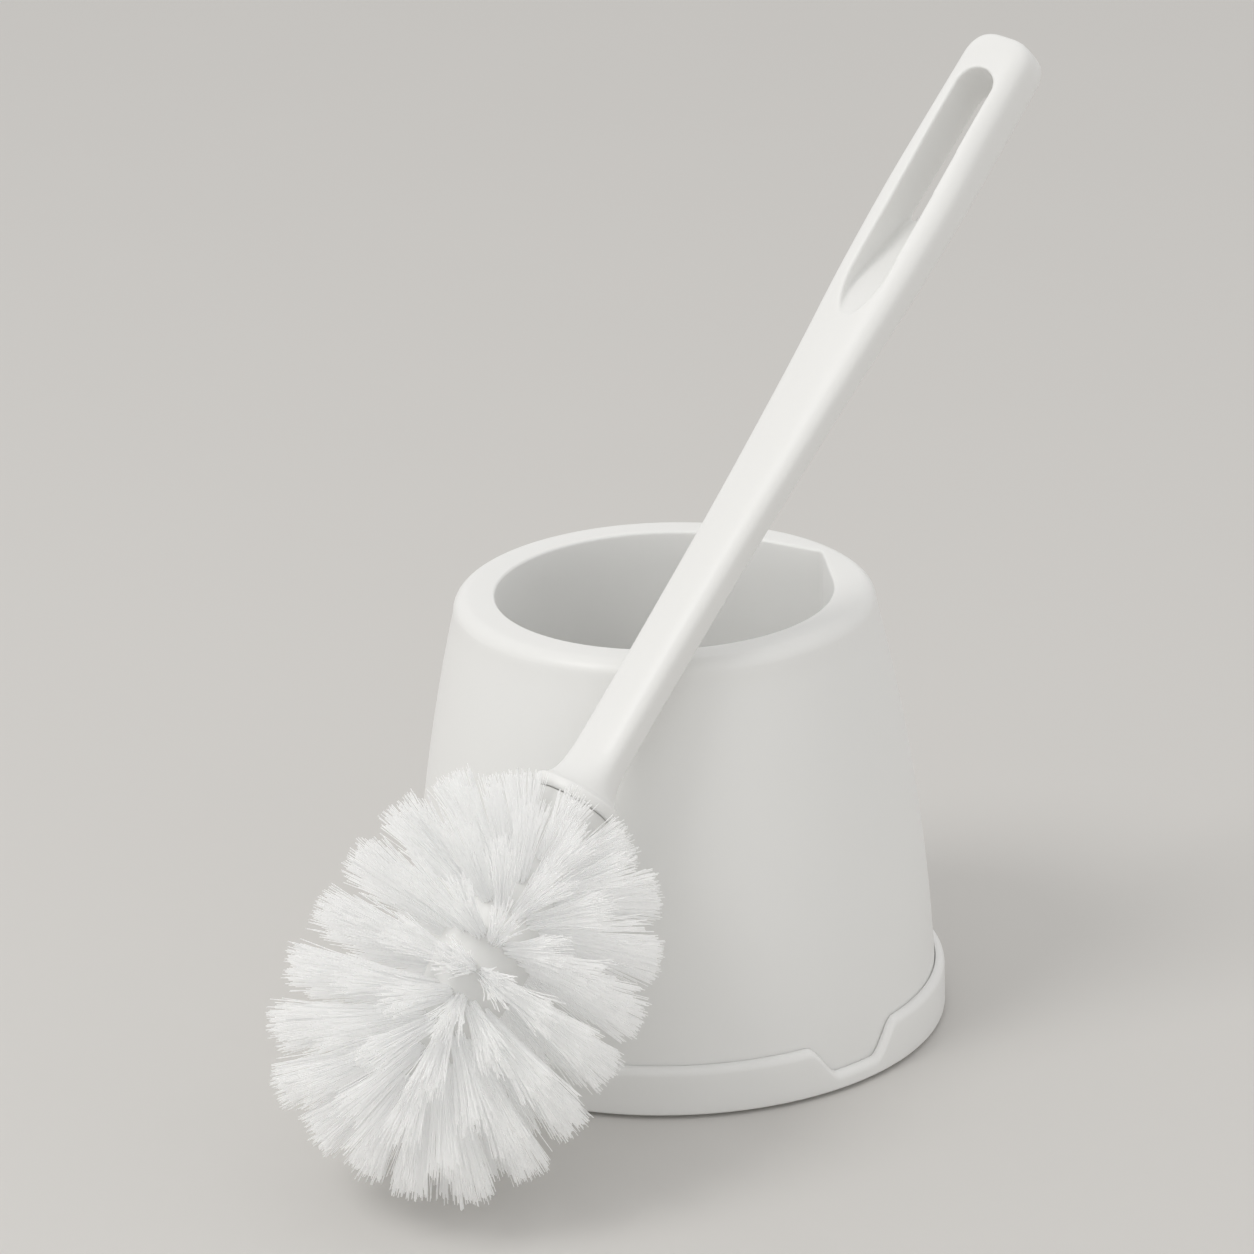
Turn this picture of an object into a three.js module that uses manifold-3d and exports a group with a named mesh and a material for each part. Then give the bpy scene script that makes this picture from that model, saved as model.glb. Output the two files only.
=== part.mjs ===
// Toilet brush with its holder: a tapered shell that lifts off a base dish, and a brush that
// leans on the shell's rim.
// Millimetres and degrees, +Z up. The origin is the centre of the base dish's underside, and -Y
// is the front.
import * as THREE from "three";
import { mergeVertices } from "three/addons/utils/BufferGeometryUtils.js";
import Module from "manifold-3d";

const wasm = await Module();
wasm.setup();

// Fits
const seatGap = 0.3; // between two pieces that touch
const rootGap = 0.35; // between the bristles and the core they stand in
const turningSteps = 56; // facets round the shell and the base
const past = 1; // how far a cut runs past the face it opens
const mergeDistance = 1e-4;

// Base dish
const baseRadius = 75;
const baseFloor = 3;
const footRadius = 70.5;
const footHeight = 1;
const footChamfer = 0.6;
const collarHeight = 14.7;
const collarWall = 2.5;
const collarRounding = 2.3;
const locatingRingWall = 1.8;
const locatingRingHeight = 9;
const thumbNotchAngle = -49.5;
const thumbNotchWidth = 33;
const thumbNotchFloorWidth = 15;
const thumbNotchFloor = 5.8;

// Shell
const holderHeight = 124;
const rimRadius = 57.6;
const rimRounding = 4.5;
const shellWall = 2;
const flangeThickness = 2.4;
const shellDraft = 0.04;
const wallSteps = 9;
const shoulderSteps = 6;
const openingRadius = 46.2;
const openingDepth = 42;
const restCornerAngle = 31;
const restCornerReach = 51;
const restCornerRadius = 3;

// Handle, along its own axis from the underside of its collar
const handleLength = 238.4;
const handleCollarRadius = 12.2;
const handleCollarHeight = 3.4;
const handleCollarRounding = 1;
const flareRadius = 9.6;
const flareHeight = 12;
const flareSteps = 6;
const shaftHalfWidth = 7.6;
const shaftHalfThickness = 4.9;
const shaftEnd = 47; // where the shaft starts to widen
const swellPosition = 108;
const swellHalfWidth = 8.9;
const shoulderPosition = 161;
const shoulderHalfWidth = 11.2;
const shoulderHalfThickness = 6;
const gripHalfWidth = 11.7;
const gripHalfThickness = 6.6;
const gripPosition = 187;
const tipHalfWidth = 10.6;
const tipHalfThickness = 7.6;
const tipRounding = 8;
const tipTurn = 78; // how far round the tip turns before its flat end
const tipWidthPower = 0.5;
const tipThicknessPower = 0.25;
const sectionSquareness = 3.4; // 2 for an ellipse, higher for a squarer section
const slotWidth = 11.4;
const slotStart = 147;
const slotStartHalfWidth = 0.8;
const slotTaper = 16;
const slotRamp = 50;
const slotEndWall = 11.4;
const handleSides = 20;
const lineSteps = 26;
const tipSteps = 6;

// Head, down its own axis from the underside of the handle's collar
const spigotRadius = 3.6;
const spigotLength = 12;
const neckRadius = 10.3;
const waistRadius = 6.6;
const waistDepth = 17;
const coreRadius = 13.2;
const coreDepth = 88;
const coreShoulderRadius = 12.4;
const coreShoulderDepth = 35.5;
const coreMiddleDepth = 54;
const coreEndRadius = 10.6;
const coreEndDepth = 77.4;
const coreSteps = 9;
const coreSides = 14;
const headRadius = 44.4;
const headTop = -1;
const headBottom = 111;
const headTopSquareness = 2.5;
const headEndSquareness = 2.8;
const outlineSteps = 400;
const tuftTrim = 1; // how far the flat end of a tuft stands back from the outline
const ringCount = 9;
const fewestTufts = 5; // in a ring
const firstRootDepth = 25;
const lastRootDepth = 82;
const tuftSpacing = 16.2;
const tuftStart = 0.4; // half width of a tuft on the core's axis, where its flare starts
const tuftSides = 6;
const tuftOverlap = 1.03; // tufts of one ring run into each other at their tips
const firstRingRadius = 19;

// How the brush leans
const leanAzimuth = 42;
const handleTwist = -83;
const footReach = 83.6; // from the base's edge to below the end of the head
const footAngle = -121.9;
const lowestLean = 20; // degrees above level, between which the resting place is looked for
const highestLean = 75;
const leanSteps = 24;
const pointsPerStation = 8;

const white = { color: 0xeaeae8, roughness: 0.38, metalness: 0 };
const bristleWhite = { color: 0xf2f2f1, roughness: 0.6, metalness: 0 };

const angle = THREE.MathUtils.degToRad;
const V2 = (x, y) => new THREE.Vector2(x, y);
const V3 = (x, y, z) => new THREE.Vector3(x, y, z);

// three.js geometry and manifold-3d solids
function solid(geometry, matrix) {
  const plain = geometry.clone();
  plain.deleteAttribute("normal");
  plain.deleteAttribute("uv");
  if (matrix) plain.applyMatrix4(matrix);
  const merged = mergeVertices(plain, mergeDistance);
  return new wasm.Manifold(
    new wasm.Mesh({
      numProp: 3,
      vertProperties: merged.attributes.position.array,
      triVerts: new Uint32Array(merged.index.array),
    }),
  );
}

function piece(name, shape, finish) {
  const faces = shape.getMesh();
  const geometry = new THREE.BufferGeometry();
  geometry.setAttribute("position", new THREE.BufferAttribute(faces.vertProperties, 3));
  geometry.setIndex(new THREE.BufferAttribute(faces.triVerts, 1));
  geometry.computeVertexNormals();
  const mesh = new THREE.Mesh(geometry, new THREE.MeshStandardMaterial(finish));
  mesh.name = name;
  return mesh;
}

// A profile of (radius, height) points, on the axis at both ends, turned about +Z.
function turned(profile, steps) {
  const upright = new THREE.Matrix4().makeRotationX(Math.PI / 2);
  return solid(new THREE.LatheGeometry(profile, steps), upright);
}

function extruded(shape, low, high, steps = 24) {
  const options = { depth: high - low, bevelEnabled: false, curveSegments: steps };
  return solid(new THREE.ExtrudeGeometry(shape, options), new THREE.Matrix4().makeTranslation(0, 0, low));
}

// Points on an arc about a centre, from one angle to another.
function arcPoints(x, y, radius, from, to, steps) {
  const arc = new THREE.EllipseCurve(x, y, radius, radius, angle(from), angle(to), to < from);
  return arc.getPoints(steps);
}

// Shell ---------------------------------------------------------------------------------------

const collarInner = baseRadius - collarWall;
const shellFoot = collarInner - seatGap;
const shellSeat = baseFloor + seatGap;
const shoulderHeight = holderHeight - rimRounding;
const wallTop = shoulderHeight - 2; // the turned shoulder takes over from here
const wallRise = shoulderHeight - collarHeight;
const wallBow = (shellFoot - rimRadius - shellDraft * wallRise) / wallRise ** 2;

// The wall is upright inside the base's collar, and bows inwards above it.
function wallRadius(z) {
  const above = Math.max(z - collarHeight, 0);
  return shellFoot - shellDraft * above - wallBow * above ** 2;
}

const shoulderLean = Math.atan(shellDraft + 2 * wallBow * wallRise);
const shoulderInset = rimRounding * Math.cos(shoulderLean);
const shoulderCentre = V2(wallRadius(shoulderHeight) - shoulderInset, shoulderHeight);

function wallPoints(inset) {
  const points = [V2(shellFoot - inset, shellSeat)];
  for (let i = 0; i <= wallSteps; i++) {
    const z = collarHeight + ((wallTop - collarHeight) * i) / wallSteps;
    points.push(V2(wallRadius(z) - inset, z));
  }
  return points;
}

// The opening is round, with a corner drawn out towards the back for the handle to rest in.
function openingShape(outset) {
  const radius = openingRadius + outset;
  const cornerRadius = restCornerRadius + outset;
  const cornerDistance = restCornerReach - restCornerRadius;
  const spread = Math.acos((openingRadius - restCornerRadius) / cornerDistance);
  const middle = angle(restCornerAngle);
  const shape = new THREE.Shape();
  shape.absarc(0, 0, radius, middle + spread, middle - spread + 2 * Math.PI, false);
  shape.absarc(
    cornerDistance * Math.cos(middle),
    cornerDistance * Math.sin(middle),
    cornerRadius,
    middle - spread,
    middle + spread,
    false,
  );
  return shape;
}

function holderShell() {
  const outer = turned(
    [
      V2(0, shellSeat),
      ...wallPoints(0),
      ...arcPoints(
        shoulderCentre.x,
        shoulderCentre.y,
        rimRounding,
        THREE.MathUtils.radToDeg(shoulderLean),
        90,
        shoulderSteps,
      ),
      V2(0, holderHeight),
    ],
    turningSteps,
  );
  const underFlange = holderHeight - flangeThickness;
  const hollow = turned(
    [
      V2(0, shellSeat - past),
      V2(shellFoot - shellWall, shellSeat - past),
      ...wallPoints(shellWall).slice(1),
      V2(shoulderCentre.x, underFlange),
      V2(0, underFlange),
    ],
    turningSteps,
  );
  const skirtFoot = holderHeight - openingDepth;
  const skirt = extruded(openingShape(shellWall), skirtFoot, underFlange + flangeThickness / 2);
  const opening = extruded(openingShape(0), skirtFoot - past, holderHeight + past);
  return outer.subtract(hollow).add(skirt).subtract(opening);
}

// Base dish -----------------------------------------------------------------------------------

// A dip in the collar's top edge, so that a thumb can reach the shell.
function thumbNotch() {
  const half = thumbNotchWidth / 2;
  const halfFloor = thumbNotchFloorWidth / 2;
  const bend = (half + halfFloor) / 2;
  const shape = new THREE.Shape();
  shape.moveTo(-half, collarHeight + past);
  shape.lineTo(-half, collarHeight);
  shape.bezierCurveTo(-bend, collarHeight, -bend, thumbNotchFloor, -halfFloor, thumbNotchFloor);
  shape.lineTo(halfFloor, thumbNotchFloor);
  shape.bezierCurveTo(bend, thumbNotchFloor, bend, collarHeight, half, collarHeight);
  shape.lineTo(half, collarHeight + past);
  const inside = collarInner - past;
  const options = { depth: collarWall + 2 * past, bevelEnabled: false, curveSegments: 8 };
  // The shape's X runs round the base, its Y up, and it is extruded outwards.
  const outwards = angle(thumbNotchAngle);
  const place = new THREE.Matrix4().makeBasis(
    V3(-Math.sin(outwards), Math.cos(outwards), 0),
    V3(0, 0, 1),
    V3(Math.cos(outwards), Math.sin(outwards), 0),
  );
  place.multiply(new THREE.Matrix4().makeTranslation(0, 0, inside));
  return solid(new THREE.ExtrudeGeometry(shape, options), place);
}

function baseDish() {
  const ringOuter = shellFoot - shellWall - seatGap;
  const ringInner = ringOuter - locatingRingWall;
  const edge = baseRadius - collarRounding;
  const dish = turned(
    [
      V2(0, 0),
      V2(footRadius, 0),
      V2(footRadius, footHeight),
      V2(baseRadius - footChamfer, footHeight),
      V2(baseRadius, footHeight + footChamfer),
      ...arcPoints(edge, collarHeight - collarRounding, collarRounding, 0, 90, 5),
      V2(collarInner, collarHeight),
      V2(collarInner, baseFloor),
      V2(ringOuter, baseFloor),
      V2(ringOuter, locatingRingHeight),
      V2(ringInner, locatingRingHeight),
      V2(ringInner, baseFloor),
      V2(0, baseFloor),
    ],
    turningSteps,
  );
  return dish.subtract(thumbNotch());
}

// Handle --------------------------------------------------------------------------------------

// Half width and half thickness of the handle along its length.
const handleLine = new THREE.CatmullRomCurve3([
  V3(handleCollarHeight, shaftHalfWidth, shaftHalfThickness),
  V3(shaftEnd, shaftHalfWidth, shaftHalfThickness),
  V3(swellPosition, swellHalfWidth, shaftHalfThickness),
  V3(shoulderPosition, shoulderHalfWidth, shoulderHalfThickness),
  V3(gripPosition, gripHalfWidth, gripHalfThickness),
  V3(handleLength - tipRounding, tipHalfWidth, tipHalfThickness),
]);

function handleStations() {
  const stations = handleLine.getPoints(lineSteps);
  for (let i = 1; i <= tipSteps; i++) {
    const turn = (angle(tipTurn) * i) / tipSteps;
    const rise = (tipRounding * Math.sin(turn)) / Math.sin(angle(tipTurn));
    const halfWidth = tipHalfWidth * Math.cos(turn) ** tipWidthPower;
    const halfThickness = tipHalfThickness * Math.cos(turn) ** tipThicknessPower;
    stations.push(V3(handleLength - tipRounding + rise, halfWidth, halfThickness));
  }
  return stations;
}

// A point round one section, a rounded box.
function sectionPoint(station, turn) {
  const power = 2 / sectionSquareness;
  const c = Math.cos(turn);
  const s = Math.sin(turn);
  return V3(
    station.y * Math.sign(c) * Math.abs(c) ** power,
    station.z * Math.sign(s) * Math.abs(s) ** power,
    station.x,
  );
}

function shaft() {
  const stations = handleStations();
  const tube = new THREE.CylinderGeometry(1, 1, stations.length - 1, handleSides, stations.length - 1);
  const place = tube.attributes.position;
  for (let i = 0; i < place.count; i++) {
    const station = stations[Math.round(place.getY(i) + (stations.length - 1) / 2)];
    const onAxis = Math.hypot(place.getX(i), place.getZ(i)) < 0.5;
    const turn = Math.atan2(place.getZ(i), place.getX(i));
    const point = onAxis ? V3(0, 0, station.x) : sectionPoint(station, -turn);
    place.setXYZ(i, point.x, point.y, point.z);
  }
  return solid(tube);
}

function handleCollar() {
  const r = handleCollarRounding;
  const upright = handleCollarRadius - r;
  const flareRise = flareHeight - handleCollarHeight;
  const flare = new THREE.QuadraticBezierCurve(
    V2(flareRadius, handleCollarHeight),
    V2(shaftHalfThickness + 0.6, handleCollarHeight + flareRise * 0.25),
    V2(shaftHalfThickness - 0.4, flareHeight),
  );
  return turned(
    [
      V2(0, 0),
      V2(upright, 0),
      ...arcPoints(upright, r, r, -45, 0, 2),
      ...arcPoints(upright, handleCollarHeight - r, r, 0, 90, 3),
      ...flare.getPoints(6),
      V2(0, flareHeight),
    ],
    32,
  );
}

// The slot seen from the front, and its ramp seen from the side, which together bound the cut.
function slotCutter() {
  const half = slotWidth / 2;
  const end = handleLength - slotEndWall - half;
  const full = slotStart + slotTaper;
  const plan = new THREE.Shape();
  plan.moveTo(slotStartHalfWidth, slotStart);
  plan.quadraticCurveTo(half, slotStart + slotTaper / 2, half, full);
  plan.lineTo(half, end);
  plan.absarc(0, end, half, 0, Math.PI, false);
  plan.lineTo(-half, full);
  plan.quadraticCurveTo(-half, slotStart + slotTaper / 2, -slotStartHalfWidth, slotStart);
  const deep = Math.max(gripHalfThickness, tipHalfThickness) + past;
  const side = new THREE.Shape();
  side.moveTo(slotStart - past, deep);
  side.lineTo(slotStart - past, gripHalfThickness);
  side.lineTo(slotStart + slotRamp, -deep);
  side.lineTo(handleLength, -deep);
  side.lineTo(handleLength, deep);
  // The plan is drawn across and along the handle, and cut right through its thickness.
  const upright = new THREE.Matrix4().makeBasis(V3(1, 0, 0), V3(0, 0, 1), V3(0, -1, 0));
  upright.multiply(new THREE.Matrix4().makeTranslation(0, 0, -deep));
  const across = new THREE.Matrix4().makeBasis(V3(0, 0, 1), V3(0, -1, 0), V3(1, 0, 0));
  across.multiply(new THREE.Matrix4().makeTranslation(0, 0, -slotWidth));
  const options = { bevelEnabled: false, curveSegments: 6 };
  const through = new THREE.ExtrudeGeometry(plan, { ...options, depth: 2 * deep });
  const ramp = new THREE.ExtrudeGeometry(side, { ...options, depth: 2 * slotWidth });
  return solid(through, upright).intersect(solid(ramp, across));
}

function handle() {
  const socketDepth = spigotLength + seatGap;
  const bore = spigotRadius + seatGap;
  const profile = [V2(0, -past), V2(bore, -past), V2(bore, socketDepth), V2(0, socketDepth)];
  const socket = turned(profile, 16);
  return shaft().add(handleCollar()).subtract(slotCutter()).subtract(socket);
}

// Head ----------------------------------------------------------------------------------------

const coreLine = new THREE.CatmullRomCurve3([
  V3(neckRadius, -seatGap, 0),
  V3(waistRadius, -waistDepth, 0),
  V3(coreShoulderRadius, -coreShoulderDepth, 0),
  V3(coreRadius, -coreMiddleDepth, 0),
  V3(coreEndRadius, -coreEndDepth, 0),
  V3(0, -coreDepth, 0),
]);

function corePoints(outset) {
  const points = coreLine.getPoints(coreSteps).map((p) => V2(p.x + outset, p.y));
  points.pop();
  return points;
}

function headCore() {
  const spigot = [
    V2(spigotRadius, -seatGap),
    V2(spigotRadius, spigotLength),
    V2(0, spigotLength),
  ];
  return turned([V2(0, -coreDepth), ...corePoints(0).reverse(), ...spigot], coreSides);
}

// The space that bristles stay out of: the core, its neck and the handle's collar, each with its gap.
function coreKeepOut() {
  const clear = handleCollarRadius + rootGap;
  return turned(
    [
      V2(0, -coreDepth - rootGap),
      ...corePoints(rootGap).reverse(),
      V2(clear, -seatGap - rootGap),
      V2(clear, handleCollarHeight + past),
      V2(0, handleCollarHeight + past),
    ],
    coreSides,
  );
}

// The outline that the bristle tips are trimmed to, from beside the collar to the end of the head.
function headOutline() {
  const half = (headBottom - headTop) / 2;
  const points = [];
  for (let i = 0; i <= outlineSteps; i++) {
    const turn = (Math.PI * i) / outlineSteps;
    const power = 2 / (turn < Math.PI / 2 ? headTopSquareness : headEndSquareness);
    const radius = headRadius * Math.abs(Math.sin(turn)) ** power;
    const along = Math.sign(Math.cos(turn)) * Math.abs(Math.cos(turn)) ** power;
    if (turn > 1 || radius > firstRingRadius) {
      points.push(V3(radius, -headTop - half + along * half, 0));
    }
  }
  return points;
}

// Tip centre, root and number of tufts of each ring, equally spaced along the outline. The last
// is the end tuft.
function ringLayout() {
  const outline = new THREE.CatmullRomCurve3(headOutline());
  const rings = [];
  for (let i = 0; i <= ringCount; i++) {
    const tip = outline.getPointAt(i / ringCount);
    const last = i === ringCount;
    const rootDepth = firstRootDepth + ((lastRootDepth - firstRootDepth) * i) / ringCount;
    const fitting = Math.round((2 * Math.PI * tip.x) / tuftSpacing);
    const count = last ? 1 : Math.max(fewestTufts, fitting);
    rings.push({ tip: last ? V3(0, tip.y, 0) : tip, root: V3(0, -rootDepth, 0), count });
  }
  return rings;
}

// One tuft, flaring from the core to its tip, and flattened so that its neighbours just meet or just clear.
function tuft(ring, halfAround, halfAlong, turn) {
  const reach = ring.tip.clone().sub(ring.root);
  const length = reach.length() - tuftTrim;
  const cone = new THREE.CylinderGeometry(1, tuftStart / halfAlong, length, tuftSides);
  cone.scale(halfAlong, 1, halfAround / Math.cos(Math.PI / tuftSides));
  cone.translate(0, length / 2, 0);
  const outwards = reach.normalize();
  const place = new THREE.Matrix4().makeBasis(
    V3(outwards.y, 0, -outwards.x),
    V3(outwards.x, 0, outwards.y),
    V3(0, -1, 0),
  );
  place.premultiply(new THREE.Matrix4().makeTranslation(0, 0, ring.root.y));
  place.premultiply(new THREE.Matrix4().makeRotationZ(turn));
  return solid(cone, place);
}

function bristleRings() {
  const rings = ringLayout();
  const keepOut = coreKeepOut();
  return rings.map((ring, i) => {
    const toNext = i < ringCount ? ring.tip.distanceTo(rings[i + 1].tip) : Infinity;
    const toLast = i > 0 ? ring.tip.distanceTo(rings[i - 1].tip) : Infinity;
    const halfAlong = Math.min(toNext, toLast) / 2 - seatGap;
    const flat = Math.cos(Math.PI / tuftSides);
    const share = tuftOverlap * ring.tip.x * Math.tan(Math.PI / ring.count);
    const halfAround = ring.count > 1 ? share : halfAlong * flat;
    let joined = null;
    for (let k = 0; k < ring.count; k++) {
      const turn = (2 * Math.PI * (k + (i % 2) / 2)) / ring.count;
      const one = tuft(ring, halfAround, halfAlong, turn);
      joined = joined ? joined.add(one) : one;
    }
    return joined.subtract(keepOut);
  });
}

// How the brush leans -------------------------------------------------------------------------

// How far a point is from the shell's outside, near enough to its rim.
function distanceToShell(point) {
  const radius = Math.hypot(point.x, point.y);
  if (radius < shoulderCentre.x) return point.z - holderHeight;
  if (point.z > shoulderCentre.y) {
    return Math.hypot(radius - shoulderCentre.x, point.z - shoulderCentre.y) - rimRounding;
  }
  return (radius - wallRadius(point.z)) * Math.cos(shoulderLean);
}

function brushTurn(elevation) {
  const turn = new THREE.Matrix4().makeRotationZ(angle(leanAzimuth));
  turn.multiply(new THREE.Matrix4().makeRotationY(angle(90 - elevation)));
  return turn.multiply(new THREE.Matrix4().makeRotationZ(angle(handleTwist)));
}

// The brush at one elevation: its lowest bristle just clears the floor, below the foot of its lean.
function brushPlace(elevation, bristlePoints) {
  const turn = brushTurn(elevation);
  const heights = bristlePoints.map((p) => p.clone().applyMatrix4(turn).z);
  const lowest = heights.reduce((low, z) => Math.min(low, z), Infinity);
  const end = V3(0, 0, -headBottom).applyMatrix4(turn);
  const reach = baseRadius + footReach;
  return turn.premultiply(
    new THREE.Matrix4().makeTranslation(
      reach * Math.cos(angle(footAngle)) - end.x,
      reach * Math.sin(angle(footAngle)) - end.y,
      seatGap - lowest,
    ),
  );
}

// The elevation at which the handle comes down on the rim, found by halving.
function restingPlace(bristlePoints) {
  const handlePoints = [];
  handleStations().forEach((station, i, all) => {
    const next = all[Math.min(i + 1, all.length - 1)];
    for (let part = 0; part < pointsPerStation; part++) {
      const here = station.clone().lerp(next, part / pointsPerStation);
      for (let k = 0; k < handleSides; k++) {
        handlePoints.push(sectionPoint(here, (2 * Math.PI * k) / handleSides));
      }
    }
  });
  let low = lowestLean;
  let high = highestLean;
  for (let i = 0; i < leanSteps; i++) {
    const middle = (low + high) / 2;
    const place = brushPlace(middle, bristlePoints);
    const distances = handlePoints.map((p) => distanceToShell(p.clone().applyMatrix4(place)));
    const clear = distances.every((distance) => distance > seatGap);
    if (clear) high = middle;
    else low = middle;
  }
  return brushPlace(high, bristlePoints);
}

function meshPoints(shape) {
  const faces = shape.getMesh();
  const points = [];
  for (let i = 0; i < faces.vertProperties.length; i += 3) {
    points.push(V3().fromArray(faces.vertProperties, i));
  }
  return points;
}

// Assembly ------------------------------------------------------------------------------------

const rings = bristleRings();
const holder = new THREE.Group();
holder.add(piece("base_dish", baseDish(), white));
holder.add(piece("holder_shell", holderShell(), white));

const brush = new THREE.Group();
brush.add(piece("handle", handle(), white));
brush.add(piece("head_core", headCore(), white));
rings.forEach((ring, i) => {
  const name = i < ringCount ? "bristle_ring_" + String(i + 1).padStart(2, "0") : "bristle_end_tuft";
  brush.add(piece(name, ring, bristleWhite));
});
restingPlace(rings.flatMap(meshPoints)).decompose(brush.position, brush.quaternion, brush.scale);

const part = new THREE.Group();
part.add(holder, brush);
export default part;
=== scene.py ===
"""A toilet brush leaning on its round holder, built round the frame's bodies. Metres, +Z up."""
import math

import bmesh
import bpy
import numpy
from mathutils import Matrix, Vector


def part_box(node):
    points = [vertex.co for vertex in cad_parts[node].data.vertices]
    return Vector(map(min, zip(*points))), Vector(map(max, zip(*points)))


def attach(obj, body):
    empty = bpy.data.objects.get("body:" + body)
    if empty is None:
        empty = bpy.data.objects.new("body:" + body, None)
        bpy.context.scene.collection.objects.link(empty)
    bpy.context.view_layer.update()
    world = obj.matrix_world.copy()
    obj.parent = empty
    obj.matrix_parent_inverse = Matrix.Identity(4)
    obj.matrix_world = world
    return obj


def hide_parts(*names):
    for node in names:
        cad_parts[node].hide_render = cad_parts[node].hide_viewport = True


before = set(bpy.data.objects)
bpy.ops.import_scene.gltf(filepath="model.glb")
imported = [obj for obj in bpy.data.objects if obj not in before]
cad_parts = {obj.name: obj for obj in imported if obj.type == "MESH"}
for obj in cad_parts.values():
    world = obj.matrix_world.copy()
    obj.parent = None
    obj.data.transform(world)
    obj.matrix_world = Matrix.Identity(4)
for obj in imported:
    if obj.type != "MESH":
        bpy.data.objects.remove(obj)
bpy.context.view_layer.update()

bl_info = {
    "name": "Toilet brush and holder",
    "version": (1, 0, 0),
    "blender": (4, 5, 0),
    "location": "3D View > Sidebar > Toilet brush",
    "description": "Builds a white plastic toilet brush, its holder and a plain studio",
    "category": "Mesh",
}

MM = 0.001
SEAT_GAP = 0.3 * MM
CRISP_ANGLE = math.radians(40)
RING_NODES = ["bristle_ring_%02d" % number for number in range(1, 10)] + ["bristle_end_tuft"]
BASE_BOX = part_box("base_dish")
SHELL_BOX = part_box("holder_shell")


def size(name, description, value, lowest=0.0):
    return bpy.props.FloatProperty(
        name=name, description=description, default=value, min=lowest, unit="LENGTH", precision=5
    )


def count(name, description, value):
    return bpy.props.IntProperty(name=name, description=description, default=value, min=1)


def colour(name, description, value):
    return bpy.props.FloatVectorProperty(
        name=name, description=description, default=value, subtype="COLOR", size=3, min=0, max=1
    )


def share(name, description, value):
    return bpy.props.FloatProperty(
        name=name, description=description, default=value, min=0, max=1, subtype="FACTOR"
    )


# Sizes and finishes ---------------------------------------------------------------------------


class BaseDishSizes(bpy.types.PropertyGroup):
    radius: size("Radius", "Outside radius of the collar", BASE_BOX[1][0])
    foot_radius: size("Foot radius", "Radius of the disc it stands on", 70.5 * MM)
    foot_height: size("Foot height", "Height of the gap under the edge", 1 * MM)
    floor: size("Floor", "Thickness of the dish's floor", 3 * MM)
    collar_height: size("Collar height", "Height of the collar", BASE_BOX[1][2])
    collar_wall: size("Collar wall", "Thickness of the collar", 2.5 * MM)
    rounding: size("Rounding", "Rounding of the collar's outer edge", 2.3 * MM)
    ring_height: size("Ring height", "Height of the locating ring inside the shell", 9 * MM)
    ring_wall: size("Ring wall", "Thickness of the locating ring", 1.8 * MM)
    notch_floor: size("Notch floor", "Height of the bottom of the thumb notch", 5.8 * MM)
    notch_width: size("Notch width", "Width of the thumb notch at the collar's edge", 33 * MM)
    notch_floor_width: size("Notch floor width", "Width of the notch's flat bottom", 13 * MM)
    notch_angle: bpy.props.FloatProperty(
        name="Notch angle", description="Where the notch is, round the base",
        default=math.radians(-49.5), subtype="ANGLE",
    )


class ShellSizes(bpy.types.PropertyGroup):
    rim_radius: size("Rim radius", "Radius where the wall meets the shoulder", 57.6 * MM)
    rim_rounding: size("Shoulder", "Radius of the rounded shoulder", 4.5 * MM)
    wall: size("Wall", "Thickness of the wall", 2 * MM)
    flange: size("Flange", "Thickness of the flat top", 2.4 * MM)
    opening: size("Opening", "Radius of the opening", 46.2 * MM)
    opening_depth: size("Opening depth", "Depth of the skirt round the opening", 42 * MM)
    corner_reach: size("Corner reach", "How far out the opening's corner comes", 51 * MM)
    corner_radius: size("Corner radius", "Rounding of the opening's corner", 3 * MM)
    edge_rounding: size("Edge rounding", "Rounding of the opening's top edge", 0.8 * MM)
    draft: bpy.props.FloatProperty(
        name="Draft", description="Lean of the wall just above the base", default=0.04
    )
    corner_angle: bpy.props.FloatProperty(
        name="Corner angle", description="Where the opening's corner is, round the shell",
        default=math.radians(31), subtype="ANGLE",
    )


class HandleSizes(bpy.types.PropertyGroup):
    length: size("Length", "From the underside of the collar to the tip", 238.4 * MM)
    collar_radius: size("Collar radius", "Radius of the collar above the head", 12.2 * MM)
    collar_height: size("Collar height", "Thickness of the collar", 3.4 * MM)
    slot_width: size("Slot width", "Width of the hanging slot", 11.4 * MM)
    slot_start: size("Slot start", "Where the slot's point is", 147 * MM)
    slot_taper: size("Slot taper", "Length of the slot's pointed end", 17 * MM)
    slot_ramp: size("Slot ramp", "Length over which the slot deepens", 50 * MM)
    slot_end_wall: size("Slot end", "Thickness of the loop at the tip", 11.4 * MM)
    grain: size("Grain", "Finest detail kept when the handle is moulded in one", 0.5 * MM)
    softness: count("Softness", "How often the handle's edges are smoothed", 5)


class HeadSizes(bpy.types.PropertyGroup):
    radius: size("Radius", "Radius of the bristle head", 44.2 * MM)
    top: size("Top", "Depth of the head's top below the collar", -1.5 * MM, -0.1)
    bottom: size("Bottom", "Depth of the head's end below the collar", 110.5 * MM)
    tuft_spacing: size("Tuft spacing", "Distance between tuft tips along a ring", 16.2 * MM)
    tuft_root: size("Tuft root", "Radius of a tuft where it leaves the core", 2.1 * MM)
    tuft_tip: size("Tuft tip", "Radius of a tuft at its tip", 5.9 * MM)
    filament: size("Filament", "Radius of one filament", 0.18 * MM)
    filaments: count("Filaments", "Filaments in one tuft", 78)
    unevenness: share("Unevenness", "How much the filaments differ in length", 0.055)
    bend: share("Bend", "How much the filaments bow, as a part of their length", 0.022)
    seed: bpy.props.IntProperty(name="Seed", description="Random seed of the filaments", default=7)


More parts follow.
